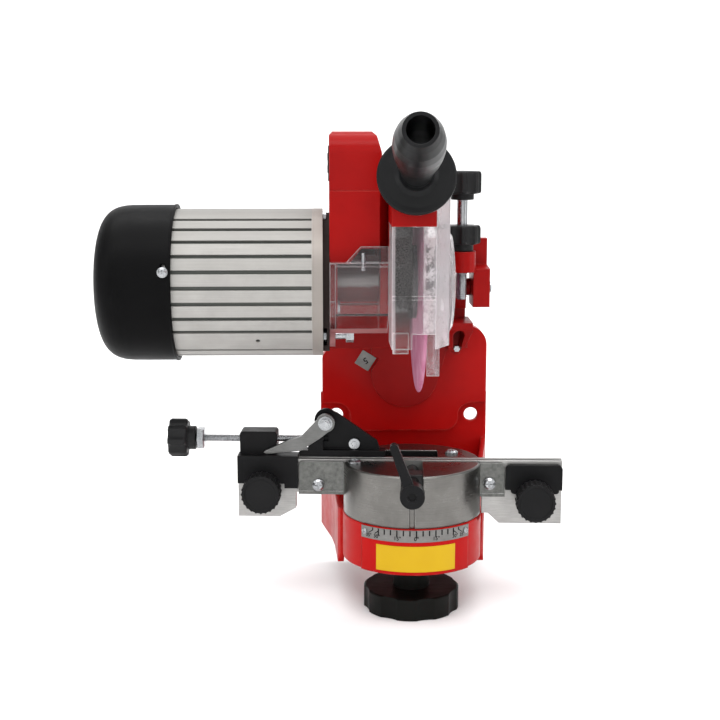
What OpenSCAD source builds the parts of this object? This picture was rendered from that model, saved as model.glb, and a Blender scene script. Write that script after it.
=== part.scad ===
// Bench and wall mounted electric chain sharpener: motor and grinding head
// on a tilting column, with a swivelling chain vise below the wheel.
// All drawing is done about the vise turntable axis, with the rail top at
// zero, and then moved so that the origin lies between the two wall bolts.

/* [Grinding wheel] */
// Outer diameter of the grinding wheel
wheel_d = 145; // [140:0.5:145]
// Thickness of the grinding wheel
wheel_t = 3.2; // [3.2:0.1:3.4]
// Bore of the grinding wheel
wheel_bore = 22.2; // [20:0.1:22.2]

/* [Motor] */
// Radius of the moulded rear cap
cap_r = 50.5; // [49.5:0.1:50.8]
// Outer radius of the extruded housing over its bars
housing_r = 47.9; // [47.5:0.1:48]
// Number of groove positions around the housing
groove_n = 30; // [20:1:32]
// Depth of the housing grooves
groove_d = 2; // [1:0.1:2.5]
// Radius of the motor shaft
shaft_r = 6; // [5:0.1:6]

/* [Mounting bracket] */
// Distance between the two wall bolt holes
hole_pitch = 100; // [96:1:102]
// Radius of the wall bolt holes
hole_r = 5; // [4:0.25:5.5]
// Half width of the back plate
plate_hw = 61.5; // [61:0.5:62.5]
// Thickness of the plate and of the side cheeks
sheet_t = 4; // [3:0.5:4]

/* [Turntable and vise] */
// Radius of the swivelling drum
drum_r = 46; // [45.5:0.1:46.2]
// Gap between the two vise jaws
jaw_gap = 1.6; // [1.2:0.1:1.8]
// Thickness of each vise jaw
jaw_t = 2.5; // [2:0.1:2.5]

/* [Handle] */
// Length of the grip from its flange to its open end
grip_len = 93; // [85:1:95]
// Radius of the hand guard flange
flange_r = 23.5; // [20:0.5:24]

/* [Hidden] */
$fn = 48;
// depth of the wall face behind the turntable axis, and height of the bolts
wall_y = 102;
hole_z = 9.6;
// arbor, swing and tilt axes
arbor_z = 120;
swing = [0, 81, 107];
tilt_z = 42.6;
wheel_x = 3.1;
// axis of the stop screw
stop_y = 4.9;
stop_z = 12.8;
// turn of the vise as it stands, on its dial, and the two thumb screws
vise_turn = -3.5;
thumb_at = [[-99.6, -18.4], [81.2, -22.6]];
lug_screw = [[-62.6, -16.6], [51.6, -14.6]];
cap_a = [-13.4, 106.6, 226.6];
box_l = -55;
box_r = -18.2;

// ---------- helpers ----------
module place() { translate([0, -wall_y, -hole_z]) children(); }
module vise() { place() rotate([0, 0, vise_turn]) children(); }
module box(x0, x1, y0, y1, z0, z1) { translate([x0, y0, z0]) cube([x1 - x0, y1 - y0, z1 - z0]); }
// cylinder along X, Y or Z between two stations, through the point (a, b) of the other two axes
module cylx(r, x0, x1, y = 0, z = 0, fn = 48) { translate([x0, y, z]) rotate([0, 90, 0]) cylinder(r = r, h = x1 - x0, $fn = fn); }
module cyly(r, y0, y1, x = 0, z = 0, fn = 48) { translate([x, y0, z]) rotate([-90, 0, 0]) cylinder(r = r, h = y1 - y0, $fn = fn); }
module cylz(r, z0, z1, x = 0, y = 0, fn = 48) { translate([x, y, z0]) cylinder(r = r, h = z1 - z0, $fn = fn); }
// flat outline in (y, z) drawn out along X, and in (x, z) drawn out along Y
module alongx(x0, x1) { translate([x0, 0, 0]) rotate([90, 0, 90]) linear_extrude(x1 - x0) children(); }
module alongy(y0, y1) { translate([0, y1, 0]) rotate([90, 0, 0]) linear_extrude(y1 - y0) children(); }
// profile of (radius, station) turned about an axis along X at (y, z)
module turnx(x = 0, y = 0, z = 0) { translate([x, y, z]) rotate([0, 90, 0]) rotate_extrude() children(); }
module rrect(x0, x1, z0, z1, r) {
  translate([x0 + r, z0]) square([x1 - x0 - 2 * r, z1 - z0]);
  translate([x0, z0 + r]) square([x1 - x0, z1 - z0 - 2 * r]);
  for (x = [x0 + r, x1 - r], z = [z0 + r, z1 - r]) translate([x, z]) circle(r = r);
}
// round head with a cross recess, facing -Y, base at y = 0
module pan_head(r, h) {
  difference() {
    union() { cyly(r, -h * 0.55, 0); translate([0, -h * 0.5, 0]) rotate([90, 0, 0]) cylinder(r1 = r, r2 = r * 0.62, h = h * 0.5); }
    box(-r * 0.55, r * 0.55, -h - 1, -h * 0.45, -r * 0.11, r * 0.11);
    box(-r * 0.11, r * 0.11, -h - 1, -h * 0.45, -r * 0.55, r * 0.55);
  }
}
// lobed knob about Z, z 0..h
module lobed(r, h, n, lobe) {
  difference() {
    cylinder(r = r, h = h);
    for (i = [0:n - 1]) rotate([0, 0, 360 / n * (i + 0.5)]) translate([r + lobe * 0.62, 0, -1]) cylinder(r = lobe, h = h + 2, $fn = 24);
  }
}

// ---------- fixed bracket ----------
module raised(i) {
  hw = plate_hw - 1.2;
  polygon([[-hw + i, 20 + i], [-hw + i, 52], [-hw + 10, 62 - i], [24 + i * 0.4, 62 - i], [38 + i * 0.4, 77 - i],
    [hw - 14, 77 - i], [hw - i, 63], [hw - i, 20 + i]]);
  translate([-hw + 10, 52]) circle(r = 10 - i);
  translate([hw - 14, 63]) circle(r = 14 - i);
  rrect(-40 + i, 40 - i, -1 + i, 30, 10 - i);
  // the corners beside the wall bolts follow them
  for (s = [-1, 1]) difference() {
    translate([s > 0 ? 30 : -hole_pitch / 2 + 0.4, hole_z]) square([hole_pitch / 2 - 30.4, 12 + i]);
    translate([s * hole_pitch / 2, hole_z]) circle(r = 10.4 + i);
  }
}
module cheek() {
  difference() {
    translate([0, 0, -73.4]) linear_extrude(66) polygon([[48.2, 3], [50, 7], [51.8, 43], [54, 61], [58.5, 83], [plate_hw, 98.5], [58.2, 98.5], [55.2, 83], [50.8, 61], [48.6, 43], [46.4, 12], [45.4, 3]]);
    alongx(40, 70) polygon([[-20, -34.4], [34, -34.4], [99, -8], [99, 20], [-20, 20]]);
    alongx(40, 70) polygon([[-20, -80], [12, -80], [7, -73.4], [2, -64.8], [-20, -64.8]]);
  }
}
module base_bracket() {
  color("red") place() difference() {
    union() {
      alongy(wall_y - 4, wall_y) { translate([-plate_hw, -73.4]) square([2 * plate_hw, 100]); raised(0); }
      alongy(90, wall_y) raised(0);
      cheek();
      mirror([1, 0, 0]) cheek();
      cylz(46.5, -64.8, -34.4);
      intersection() { cylz(48, -64.8, -34.4); translate([0, 0, -70]) linear_extrude(40) polygon([[0, 0], [-66, -61.5], [66, -61.5]]); }
    }
    alongy(90 + sheet_t, wall_y + 1) raised(sheet_t);
    for (s = [-1, 1]) cyly(hole_r, 80, 110, s * hole_pitch / 2, hole_z);
    cyly(5.05, 80, 110, 0, tilt_z);
    cylz(43, -60, -30);
    cylz(5.5, -70, -50);
    // notch in the right cheek below the long end of the rail
    alongx(40, 70) polygon([[-20, -20], [-20, -36.8], [3, -36.8], [20, -44.4], [46, -44.4], [50, -28], [50, -20]]);
  }
}
module sector(r0, r1, z0, z1, a) {
  intersection() {
    difference() { cylz(r1, z0, z1); cylz(r0, z0 - 1, z1 + 1); }
    translate([0, 0, z0 - 1]) linear_extrude(z1 - z0 + 2) polygon([[0, 0], [-90 * sin(a), -90 * cos(a)], [0, -140], [90 * sin(a), -90 * cos(a)]]);
  }
}
module dial_plate() { color("silver") place() sector(48, 48.5, -42.6, -34.6, 46); }
module dial_rivets() { color("gainsboro") place() for (a = [-42.5, 42.5]) rotate([0, 0, a]) translate([0, -48.5, -38.2]) pan_head(1.9, 1.2); }
module front_label() { color("gold") place() sector(48, 48.3, -62.6, -45.4, 32); }
module tilt_scale() { color("silver") place() translate([-28.6, 0, 51.8]) rotate([0, 32, 0]) box(-5.8, 5.8, 89.7, 90, -5.8, 5.8); }
module tilt_nut() { color("silver") place() difference() { cyly(8.5, 94.1, 99.5, 0, tilt_z, 6); cyly(5.05, 90, 102, 0, tilt_z); } }

// ---------- tilting column ----------
module column() {
  color("red") place() difference() {
    union() {
      // tongue that lies on the raised panel
      alongy(83.6, 89.6) { translate([0, tilt_z]) circle(r = 24.5); polygon([[-24.5, tilt_z], [-24.5, 80], [36, 80], [30.5, 60], [21.5, 31]]); }
      // block and hinge barrel
      box(-57, -45.6, 80, 89.6, 62.5, 97.4);
      box(-45.7, 43, 80, 89.6, 62.5, 100);
      cylx(8.4, -45.5, 43, swing[1], swing[2]);
      cylx(6.2, 42, 46, swing[1], swing[2]);
      alongx(-45.5, 43) polygon([[76, 92], [89.4, 92], [89.4, 107], [73, 107]]);
      // shelf and its gusset
      alongx(26, 45.5) polygon([[50, 85], [50, 80], [60, 66], [84, 62], [84, 85]]);
      cyly(4.6, 79, 89.6, 37, 62.4);
      alongy(72, 84) polygon([[26, 85], [26, 68], [30, 62], [39.6, 62], [45.5, 80], [45.5, 85]]);
    }
    // gusset sides lean inwards below the shelf
    alongy(40, 83.5) polygon([[46.4, 81], [39.6, 62], [39.6, 50], [70, 50], [70, 81]]);
    alongy(40, 83.5) polygon([[25, 80], [30, 66], [30, 50], [10, 50], [10, 80]]);
    // recess with the lock screw at its foot
    cyly(4.1, 40, 79, 36, 75.4);
    cyly(2.8, 40, 79, 35.6, 65.4);
    alongy(40, 79) polygon([[31.95, 75.8], [40.05, 75.8], [38.35, 65], [32.85, 65]]);
    cyly(2.02, 70, 95, 37, 62.4);
    cyly(2.75, 70, 79, 37, 62.4);
    // window over the scale
    translate([-28.6, 0, 51.8]) rotate([0, 32, 0]) box(-7, 7, 80, 91, -7, 7);
    // room for the wheel in front of the pin
    box(-8, 13, 60, 90, 88, 120);
    cylx(4.03, -50, 50, swing[1], swing[2]);
    cyly(5.02, 85.5, 92, 0, tilt_z);
  }
}
module tilt_bolt() { color("silver") place() { cyly(5, 85.8, 101, 0, tilt_z); } }
module tilt_lock_screw() { color("silver") place() { cyly(2, 78.8, 89.5, 37, 62.4); cyly(2.4, 76.2, 79, 37, 62.4, 6); } }
module hinge_pin() { color("silver") place() cylx(4, -58.5, 61.5, swing[1], swing[2]); }
module hinge_clips() {
  color("dimgray") place() for (x = [-57.2, 59]) difference() { cylx(6.2, x, x + 1.2, swing[1], swing[2]); cylx(4.0, x - 1, x + 2, swing[1], swing[2]); }
}
// torsion spring on the pin, with one leg on the block and one under the bridge
module return_spring() {
  color("darkgray") place() translate(swing) {
    for (i = [0:6]) translate([-5 + i * 2.2, 0, 0]) rotate([0, 90, 0]) rotate_extrude() translate([5.3, 0]) circle(r = 1.15, $fn = 24);
    translate([-5, 5.3, 0]) rotate([180, 0, 0]) cylinder(r = 1.1, h = 14);
    translate([8.2, 5.3, 0]) cylinder(r = 1.1, h = 11.5);
  }
}

// ---------- grinding head ----------
module ear_outline() {
  polygon([[36, 181], [60, 181], [84, 140], [89, 112], [88, 103], [77, 99.5], [70, 104], [56, 136], [36, 136]]);
  translate([swing[1], swing[2]]) circle(r = 8.2);
}
module head_casting() {
  color("red") place() difference() {
    union() {
      box(box_l, box_r, -40, 60, 136, 181);
      // plate for the motor and web for the guard
      cylx(35, box_l, -50, 0, arbor_z);
      box(box_l, -50, -35, 35, arbor_z, 140);
      cylx(30, -23, box_r, 0, arbor_z);
      box(-23, box_r, -30, 30, arbor_z, 140);
      // ears down to the swing axis
      alongx(box_l, -46.2) ear_outline();
      alongx(-26, box_r) polygon([[36, 181], [60, 181], [84, 140], [87, 122], [78.5, 122], [56, 136], [36, 136]]);
      // bridge behind the wheel
      box(-26, 58, 78.5, 87, 122, 142);
      // right ear
      alongx(46.2, 58) { polygon([[59, 95], [84, 95], [87, 98], [87, 124], [59, 122]]); translate([swing[1], swing[2]]) circle(r = 8.2); }
      // lug of the depth stop
      cylz(9.8, 120.6, 135, 37.4, 55.8);
      box(28, 46.4, 55.8, 80, 122, 135);
      alongx(44.2, 46.4) polygon([[59, 122], [66, 137], [80, 141], [80, 122]]);
    }
    // wiring space, arbor bore, hinge bore, depth screw thread
    box(box_l + 3.5, -25.6, -36.5, 56.5, 140, 182);
    translate([0, 0, 135.9]) linear_extrude(46) polygon([[-23.6, -41], [-23.6, -40], [-18.1, -29.4], [-17, -29.4], [-17, -41]]);
    cylx(15.02, box_l - 1, box_r + 1, 0, arbor_z);
    cylx(4.08, -70, 70, swing[1], swing[2]);
    cylz(4.04, 110, 150, 37.4, 55.8);
    cyly(7.55, 50, 70, -37, 160);
    // opening of the shaft tunnel at the foot of the box
    alongy(-45, -24) polygon([[-44.2, 134], [-35, 145.4], [-23.3, 145.4], [-23.3, 134]]);
    for (a = [0, 120, 240]) translate([0, 0, arbor_z]) rotate([a, 0, 0]) { cylx(2.52, -60, -46, 0, 27); cylx(4.6, -51.5, -44, 0, 27); }
  }
}
module cover_section(i) { polygon([[box_l + i, 180], [box_l + i, 214.8 - i], [-52.6, 217.2 - i], [-28.4, 217.2 - i], [-25.4 - i * 0.8, 214.6 - i * 0.6], [-22.6 - i, 205], [-21.6 - i, 196], [-21.6 - i, 180]]); }
module cover_side(i) {
  translate([-40 + i, 180]) square([60, 23.7]);
  translate([0, 180]) square([60 - i, 22.2]);
  translate([-26.5, 190]) square([71.5, 27.2 - i]);
  translate([-26.5, 203.7]) circle(r = 13.5 - i);
  translate([45, 202.2]) circle(r = 15 - i);
}
module switch_cover() {
  color("red") place() difference() {
    intersection() { alongy(-45, 65) cover_section(0); alongx(-60, -10) cover_side(0); box(-70, 0, -50, 70, 181.05, 220); }
    intersection() { alongy(-44, 64) cover_section(2.5); alongx(-59, -11) cover_side(2.5); }
    box(-60, -50, -15.1, 15.1, 187.9, 206.1);
    for (p = [-24.5, 53]) { cylx(1.8, -60, -50, p, 187); cylx(3.7, -60, -53.8, p, 187); }
  }
}
module cover_screws() { color("silver") place() for (p = [-24.5, 53]) translate([-53.8, p, 187]) rotate([0, 0, -90]) { pan_head(3.5, 1.2); cyly(1.78, -0.2, 5); } }
module switch_frame() {
  color([0.1, 0.1, 0.1]) place() difference() {
    union() { alongx(-55.6, -55) rrect(-17, 17, 186, 208, 2); box(-55.1, -45, -15, 15, 188, 206); }
    box(-60, -46.8, -12.2, 12.2, 190.4, 203.6);
    cylz(1.22, 189, 205, -51, 0);
  }
}
// rocker about a vertical pivot, off end pressed in
module rocker_switch() {
  color([0.12, 0.12, 0.12]) place() translate([-51, 0, 197]) rotate([0, 0, 5]) difference() {
    union() {
      intersection() { cylz(11.6, -6.3, 6.3); alongz_wedge(); }
      cylz(1.2, -7.8, 7.8);
    }
    translate([-5.6, 6.5, 0]) rotate([0, 90, 0]) cylinder(r = 2, h = 2, $fn = 24);
  }
}
module alongz_wedge() { translate([0, 0, -7]) linear_extrude(14) polygon([[-3.6, -12], [-4.6, -6], [-4.4, 0], [-4.6, 6], [-3.6, 12], [2, 9], [3, 0], [2, -9]]); }
module cord_gland() {
  color([0.1, 0.1, 0.1]) place() difference() {
    union() { cyly(9, 60.05, 64.5, -37, 160, 6); cyly(7.5, 54, 68, -37, 160); cyly(6.9, 68, 76, -37, 160); cyly(5.6, 76, 84, -37, 160); }
    cyly(3.75, 50, 90, -37, 160);
  }
}

// ---------- motor ----------
module motor_flange() {
  color("silver") place() difference() {
    union() { cylx(48, -65, -59.2, 0, arbor_z); cylx(45.2, -59.2, -55, 0, arbor_z); cylx(40.9, -70, -65, 0, arbor_z); cylx(19, -76, -65, 0, arbor_z); }
    cylx(15.02, -80, -62, 0, arbor_z);
    cylx(9, -80, -50, 0, arbor_z);
    for (a = [0, 120, 240]) translate([0, 0, arbor_z]) rotate([a, 0, 0]) cylx(2.5, -62, -50, 0, 27);
    cylx(2.45, -60, -50, -22, 88.1);
    // pockets of the two bolt heads that show in the gap
    box(-59.2, -56.7, -46, -16, 82, 95);
    box(-59.2, -56.7, -17, -3, 157, 170);
    cylx(2.02, -64.5, -58, -10, 163.4);
  }
}
module motor_housing() {
  color([0.8, 0.8, 0.79]) place() translate([0, 0, arbor_z]) difference() {
    cylx(housing_r, -154.5, -65);
    cylx(41, -160, -60);
    // grooves, with two wide pads left without one
    for (i = [0:groove_n - 1]) if (i > 1 && i != 11 && i != 26)
      rotate([4.1 + i * 360 / groove_n, 0, 0]) box(-156, -66.2, -1.25, 1.25, housing_r - groove_d, 52);
    rotate([134.2, 0, 0]) cylz(1.5, housing_r - 4, 52, -100.4, 0);
  }
}
module rear_shield() {
  color("silver") place() difference() {
    union() { cylx(46.5, -158.5, -154.5, 0, arbor_z); cylx(40.9, -154.5, -150, 0, arbor_z); cylx(19, -160.5, -146, 0, arbor_z); }
    cylx(15.02, -157.5, -140, 0, arbor_z);
    cylx(8, -170, -140, 0, arbor_z);
    for (a = cap_a) translate([0, 0, arbor_z]) rotate([a, 0, 0]) cyly(1.7, -50, -38, -156.5, 0);
  }
}
// rounded end of the cap: full at the rim, flat at the middle
function cap_curve(a, r, t0, dt) = [for (i = [0:18]) [r * pow(sin(t0 + i * dt), 0.52), -173 - a * pow(cos(t0 + i * dt), 0.52)]];
module end_cap() {
  color([0.1, 0.1, 0.1]) place() translate([0, 0, arbor_z]) difference() {
    turnx() polygon(concat(cap_curve(31.8, cap_r, 0, 5), [[cap_r, -154.3], [cap_r + 0.4, -154.1], [cap_r + 0.4, -153], [48.3, -153]], cap_curve(29, 48.1, 90, -5)));
    // air slots around the end face
    for (i = [0:17]) rotate([i * 20, 0, 0]) box(-210, -196, -1.4, 1.4, 15, 28);
    for (a = cap_a) rotate([a, 0, 0]) { cyly(2.1, -60, -40, -157.7, 0); box(-159.2, -156.2, -60, -40, 0, 5.4); }
  }
}
module cap_screws() {
  color("silver") place() for (a = cap_a) translate([0, 0, arbor_z]) rotate([a, 0, 0]) translate([-157.7, -cap_r - 0.05, 0]) {
    difference() { cyly(3.3, -0.9, 0); cyly(2.05, -2, 1); }
    translate([0, -0.9, 0]) pan_head(2.8, 2);
    cyly(2, -0.9, 2);
  }
}
module flange_screws() {
  color("silver") place() for (a = [0, 120, 240]) translate([-51.5, 0, arbor_z]) rotate([a, 0, 0]) translate([0, 0, 27]) { rotate([0, 90, 0]) cylinder(r = 4.1, h = 3.2, $fn = 6); cylx(2.48, -9.5, 0.2); }
  // bolt of the motor ring, seen in the gap
  color("silver") place() { cylx(3.2, -59.15, -56.9, -10, 163.4, 6); cylx(2, -64, -59, -10, 163.4); }
}
module stator_core() { color("gray") place() difference() { cylx(40.95, -142, -82, 0, arbor_z); cylx(24.4, -150, -80, 0, arbor_z); } }
module windings() {
  color("peru") place() for (x = [-149.5, -82]) difference() { cylx(38, x, x + 7.5, 0, arbor_z); cylx(26, x - 1, x + 9, 0, arbor_z); }
}
module motor_bearings() {
  color("silver") place() for (x = [-157.4, -74]) difference() { cylx(15, x, x + 9, 0, arbor_z); cylx(shaft_r + 0.05, x - 1, x + 10, 0, arbor_z); }
}
module rotor_core() { color("gray") place() difference() { cylx(24, -144, -80, 0, arbor_z); cylx(shaft_r, -150, -70, 0, arbor_z); } }
module rotor_shaft() { color("lightgray") place() cylx(shaft_r, -186, 18.2, 0, arbor_z); }
module cooling_fan() {
  color([0.2, 0.2, 0.2]) place() translate([0, 0, arbor_z]) difference() {
    union() { cylx(36, -168, -166); cylx(10, -184, -166); for (i = [0:10]) rotate([i * 360 / 11, 0, 0]) box(-181, -167, -1, 1, 9, 36); }
    cylx(shaft_r, -190, -160);
  }
}
module wheel_flanges() {
  color("silver") place() difference() {
    union() { cylx(24, -2.5, wheel_x - wheel_t / 2, 0, arbor_z); cylx(wheel_bore / 2 - 0.02, 0, wheel_x + wheel_t / 2 - 0.2, 0, arbor_z); cylx(9, -12, -2, 0, arbor_z); }
    cylx(shaft_r, -20, 10, 0, arbor_z);
  }
  color("silver") place() difference() { cylx(24, wheel_x + wheel_t / 2, 8.5, 0, arbor_z); cylx(shaft_r, 0, 20, 0, arbor_z); }
}
module grinding_wheel() {
  color([0.8, 0.5, 0.7]) place() difference() {
    turnx(wheel_x, 0, arbor_z) polygon([[0, -wheel_t / 2], [wheel_d / 2 - 4, -wheel_t / 2], [wheel_d / 2 - 1.5, -wheel_t / 2 + 0.4], [wheel_d / 2 - 0.3, -wheel_t / 2 + 1], [wheel_d / 2, 0], [wheel_d / 2 - 0.3, wheel_t / 2 - 1], [wheel_d / 2 - 1.5, wheel_t / 2 - 0.4], [wheel_d / 2 - 4, wheel_t / 2], [0, wheel_t / 2]]);
    cylx(wheel_bore / 2, -10, 20, 0, arbor_z);
  }
}
module spindle_nut() { color("silver") place() difference() { cylx(11, 8.5, 16.5, 0, arbor_z, 6); cylx(shaft_r, 0, 20, 0, arbor_z); } }

// ---------- guards ----------
module arbor_tube() {
  color("gray") place() difference() { cylx(15, -54.6, -13.5, 0, arbor_z); cylx(11, -60, -10, 0, arbor_z); }
}
module guard_side(r, f) {
  intersection() { translate([0, arbor_z]) circle(r = r); polygon([[-90, 161.6], [20, 161.6], [20, 144], [90, 144], [90, 220], [-90, 220]]); }
  polygon([[-78 + f, 161.6], [-78 + f, 184], [-66, 196 - f], [-30, 196 - f], [0, 175], [0, 161.6]]);
}
module wheel_guard() {
  color("red") place() difference() {
    union() {
      alongx(box_r + 0.05, 8.5) guard_side(78, 0);
      // left wall between the box and the wheel
      box(box_r + 0.05, box_r + 2, -43.7, 20, 136.2, 163);
      translate([-3.9, -80, 191]) rotate([73, 0, -2.7]) translate([0, 0, -16]) cylinder(r = 12, h = 16);
    }
    alongx(box_r + 2, 6.5) guard_side(75.8, 2.2);
    box(box_r + 2, 6.5, -75.8, 0, 150, 163);
    box(box_r + 2, 6.5, 19, 79, 140, 150);
    translate([-3.9, -80, 191]) rotate([73, 0, -2.7]) translate([0, 0, -20]) cylinder(r = 5.05, h = 30);
  }
}
module window_plan(i) { polygon([[-18 + i * 0.9, -78 + i], [8.5 - i * 0.45, -78 + i], [18 - i, -62 + i * 0.3], [18 - i, 30 + i], [box_r + i, 30 + i]]); }
module front_window() {
  color([0.85, 0.85, 0.9, 0.5]) place() difference() {
    union() {
      translate([0, 0, 88]) linear_extrude(73.6) window_plan(0);
      // closed cheek beside the red guard, and a ridge across the front
      intersection() { translate([0, 0, 159]) linear_extrude(40) window_plan(0); alongx(8.65, 18) guard_side(77, 0.8); }
      box(-17.9, 8.4, -78.5, -77.9, 118, 120.2);
      box(-17.4, -8, -79.6, -77.9, 85.6, 98);
      cylx(28, 17, 20.2, 0, arbor_z);
    }
    translate([0, 0, 80]) linear_extrude(79.4) window_plan(2.2);
    intersection() { translate([0, 0, 162.6]) linear_extrude(40) window_plan(2.2); alongx(8, 16) guard_side(74.8, 3); }
    box(box_r + 2.2, 8.6, -75.8, 40, 150, 165);
    // open behind the web, open rear, notch at the foot of the front
    box(-30, box_r + 3, -44, 50, 80, 170);
    box(-30, 40, 30, 60, 80, 170);
    box(-5.6, 8.2, -90, -70, 80, 97);
    cylx(25.8, 10, 19, 0, arbor_z);
  }
}
module hub_cover() {
  color([0.85, 0.85, 0.9, 0.5]) place() translate([0, 0, arbor_z]) difference() {
    turnx() polygon([[0, 20.2], [33.2, 20.2], [34, 21], [34, 22.6], [31, 24.6], [24, 25.6], [0, 26]]);
    turnx() polygon([[0, 18], [29, 18], [29, 22], [24, 23.4], [0, 23.8]]);
  }
}
module guard_flap() {
  color([0.85, 0.85, 0.9, 0.5]) place() { box(7.6, 15.75, -22, -19.8, 61, 102); box(13.8, 15.75, -22, 6, 61, 102); }
}
module side_shield() {
  color([0.85, 0.85, 0.9, 0.5]) place() difference() {
    union() {
      alongx(-54.95, -51.4) { polygon([[-48, 137], [-48, 112.6], [-46.4, 104], [-30, 90.6], [-30, 89], [-14, 89], [-14, 137]]); translate([-22, 89]) circle(r = 8); }
      alongx(-52, box_r - 0.05) polygon([[-48, 137], [-48, 112.6], [-46.4, 104], [-30, 90.6], [-30, 93.8], [-44.2, 105.2], [-45.6, 113], [-45.6, 134.6], [-40.05, 134.6], [-40.05, 137]]);
      alongy(-42.2, -40.05) polygon([[-45.5, 136], [-35.6, 146.8], [box_r - 0.05, 146.8], [box_r - 0.05, 136]]);
    }
    cylx(35.4, -55.1, -49.9, 0, arbor_z);
    box(-60, -49.9, -35.6, 40, 112, 145);
    cylx(2.6, -60, -50, -22, 88.1);
    cylz(1.4, 130, 140, -34, -43.9);
    box(-60, -45, -40.05, 0, 135.9, 140);
  }
}
module shield_bolt() { color("silver") place() { cylz(1.35, 132, 143.1, -34, -43.9); cylz(1.6, 132, 134.55, -34, -43.9); cylx(2.4, -57.2, -40, -22, 88.1); cylx(4.2, -59.15, -57, -22, 88.1, 6); difference() { cylx(4.6, -44.5, -39.5, -22, 88.1, 6); cylx(2.4, -50, -30, -22, 88.1); } } }

// ---------- handle ----------
module handle_grip() {
  color([0.1, 0.1, 0.1]) place() translate([-3.9, -80, 191]) rotate([73, 0, -2.7]) difference() {
    rotate_extrude() polygon([[0, 0], [flange_r - 1.2, 0], [flange_r, 1], [flange_r, 2.4], [flange_r - 1, 3.2], [flange_r - 4, 3.4], [13, 4.4], [10.4, 6.4], [9.4, 10], [9.2, 14], [9.8, 20], [11.2, 30], [12.9, 42], [14.2, 54], [14.75, 64], [14.5, 72], [13.4, 80], [11.6, grip_len - 6], [10.2, grip_len - 1.6], [9.7, grip_len], [0, grip_len]]);
    translate([0, 0, 24]) cylinder(r = 7.65, h = 100);
    translate([0, 0, -5]) cylinder(r = 5.05, h = 50);
  }
}
module handle_stud() {
  color("silver") place() translate([-3.9, -80, 191]) rotate([73, 0, -2.7]) { translate([0, 0, -15]) cylinder(r = 5, h = 42); translate([0, 0, 24]) cylinder(r = 7.2, h = 6, $fn = 6); }
}

// ---------- depth stop ----------
module depth_rod() {
  color("silver") place() translate([37.4, 55.8, 0]) { cylz(4, 101.4, 178); translate([0, 0, 170.6]) difference() { union() { cylz(8, 0, 5); translate([0, 0, 4]) lobed(13, 15.6, 8, 5); } cylinder(r = 4, h = 7.4); } }
}
module depth_lock_knob() {
  color([0.1, 0.1, 0.1]) place() translate([37.4, 55.8, 0]) difference() {
    union() { cylz(8, 135.1, 140.5); translate([0, 0, 140]) lobed(13, 13, 8, 5); }
    cylz(4.06, 130, 160);
  }
}

// ---------- turntable ----------
module drum() {
  color("lightgray") vise() difference() {
    union() { cylz(drum_r, -34.3, -1); translate([0, 0, -1]) cylinder(r1 = drum_r, r2 = drum_r - 1, h = 1); cylz(42.7, -56, -34); }
    box(-50, 50, -jaw_gap / 2 - jaw_t - 0.02, jaw_gap / 2 + jaw_t + 0.02, -24, 2);
    // seats of the two brackets and the channel of the clamp screw
    box(-50, -41.4, -7, 0, -27, 2);
    box(43.4, 50, -7, 0, -27, 2);
    box(-7, 7, -50, 0, -15, 2);
    // pocket behind the rail
    box(-25, 17.5, 1, 26, -13, 2);
    // index groove at the front
    translate([0, -drum_r - 1.1, -40]) cylinder(r = 2.3, h = 27);
    // thread of the lock screw, and lightening bores
    cylz(5.05, -60, -30);
    for (a = [0:60:300]) rotate([0, 0, a]) cylz(9, -60, -38, 27, 0);
  }
}
module drum_screws() {
  color("gainsboro") vise() { for (p = [[27, 18], [-38, -11]]) translate([p[0], p[1], 0]) rotate([-90, 0, 0]) mirror([0, 0, 0]) rotate([0, 0, 0]) pan_head_up(); }
}
module pan_head_up() { difference() { rotate([90, 0, 0]) { cylinder(r = 4.4, h = 1.4); translate([0, 0, 1.4]) cylinder(r1 = 4.4, r2 = 3, h = 1); } rotate([90, 0, 0]) translate([0, 0, 1.4]) { translate([-2.4, -0.5, 0]) cube([4.8, 1, 3]); translate([-0.5, -2.4, 0]) cube([1, 4.8, 3]); } } }
module jaw_outline(top) {
  polygon([[-117, top], [-117, -39.5], [-89, -39.5], [-78, -33.4], [-78, -22.3], [46.8, -22.3], [46.8, -35.6], [51, -35.6], [58.6, -42.6], [100.2, -42.6], [100.2, top]]);
}
module rear_jaw() {
  color("gainsboro") vise() difference() {
    alongy(jaw_gap / 2, jaw_gap / 2 + jaw_t) jaw_outline(1);
    for (p = thumb_at) cyly(3.07, -5, 10, p[0], p[1]);
  }
}
module front_jaw() {
  color("gainsboro") vise() difference() {
    alongy(-jaw_gap / 2 - jaw_t, -jaw_gap / 2) jaw_outline(0.6);
    for (p = thumb_at) cyly(3.07, -10, 5, p[0], p[1]);
    for (p = lug_screw) cyly(2.04, -10, 5, p[0], p[1]);
  }
}
module jaw_brackets() {
  color("darkgray") vise() {
    y1 = -jaw_gap / 2 - jaw_t - 0.02;
    difference() { union() { alongy(y1 - 2, y1) polygon([[-76, -22.8], [-76, -2], [-74.5, -0.6], [-46.5, -0.6], [-42, -4.5], [-42, -22.8]]); box(-76, -42, y1 - 2.8, y1, -23, -20.8); } cyly(2.04, -10, 5, lug_screw[0][0], lug_screw[0][1]); }
    difference() { union() { alongy(y1 - 2, y1) polygon([[44, -23.4], [44, -2.4], [45.5, -0.9], [60, -0.9], [62, -2.6], [62, -23.4]]); box(44, 62, y1 - 2.8, y1, -23.6, -21.4); } cyly(2.04, -10, 5, lug_screw[1][0], lug_screw[1][1]); }
  }
}
module bracket_screws() {
  color("silver") vise() for (p = lug_screw) translate([p[0], -jaw_gap / 2 - jaw_t - 2.02, p[1]]) { pan_head(4.1, 2.6); cyly(2, -0.2, 3.6); }
}
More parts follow.
